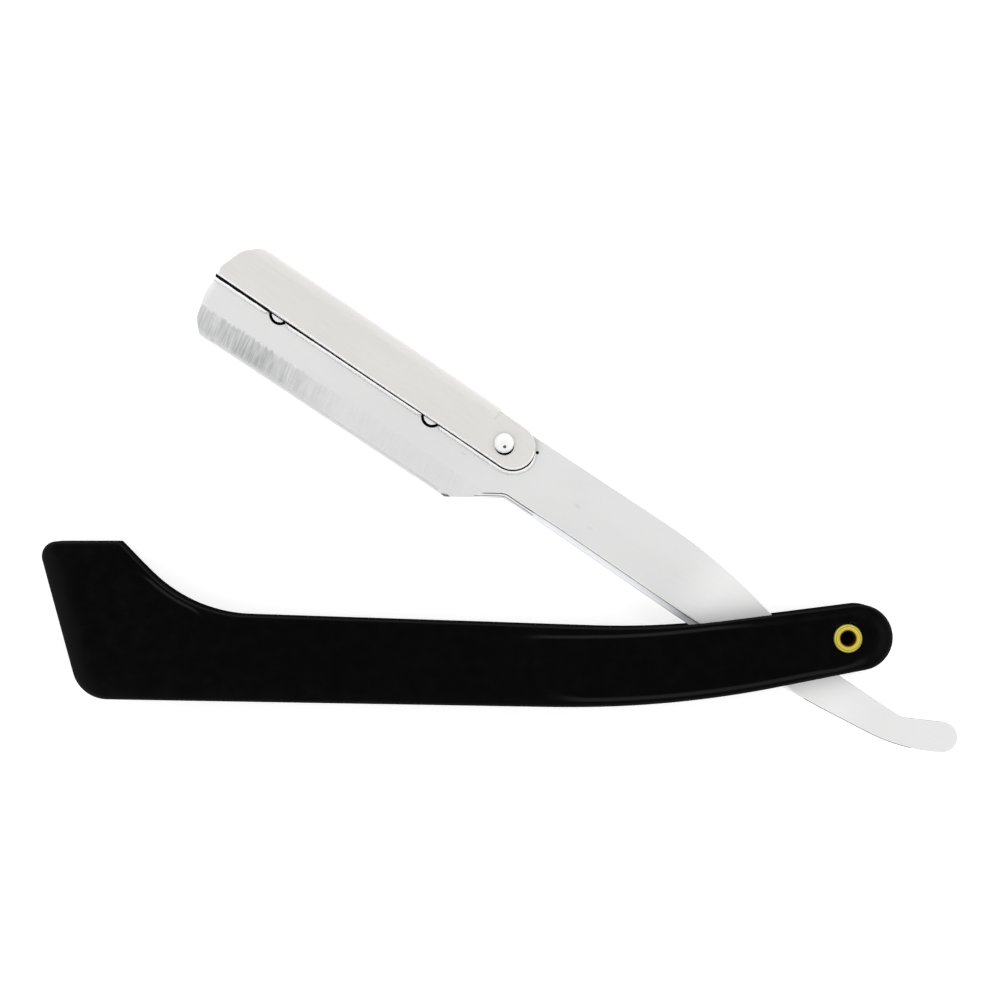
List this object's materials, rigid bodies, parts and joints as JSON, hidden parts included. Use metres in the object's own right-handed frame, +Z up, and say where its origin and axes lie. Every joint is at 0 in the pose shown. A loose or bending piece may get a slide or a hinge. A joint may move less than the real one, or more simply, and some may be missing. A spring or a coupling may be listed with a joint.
{
  "type": "folding razor",
  "caption": "Barber's folding razor for half blades: swing-lock blade clamp on a stamped steel arm that folds into a slotted black handle.",
  "frame": {"origin": "on the main pivot's axis, in the plane of the handle's back cheek, on which the razor lies", "axes": "-X from the pivot along the handle to its toe, +Y to the side the arm opens to, +Z up out of the front cheek"},
  "size_m": [0.1437, 0.0792, 0.0096],
  "materials": {
    "handle_plastic": "glossy moulded black",
    "pivot_brass": "bright rolled brass",
    "washer_nylon": "satin grey nylon",
    "sheet_steel": "satin, ground along the edge",
    "clamp_steel": "satin",
    "blade_steel": "polished",
    "rivet_steel": "bright"
  },
  "bodies": {
    "handle": {"handle": "handle_plastic", "pivot_rivet": "pivot_brass", "pivot_washer_back": "washer_nylon", "pivot_washer_front": "washer_nylon"},
    "arm": {"blade_arm": "sheet_steel", "blade_stud_tip": "rivet_steel", "blade_stud_heel": "rivet_steel", "razor_blade": "blade_steel", "clamp_rivet": "rivet_steel"},
    "clamp": {"blade_clamp": "clamp_steel"}
  },
  "joints": [
    {"name": "arm_fold", "type": "hinge", "parent": "handle", "child": "arm", "pos_m": [0, 0, 0.0046], "axis": [0, 0, -1], "range_deg": [-25.5, 280]},
    {"name": "clamp_swing", "type": "hinge", "parent": "arm", "child": "clamp", "pos_m": [-0.05366, 0.03053, 0.0046], "axis": [0, 0, 1], "range_deg": [-85, 0]}
  ]
}
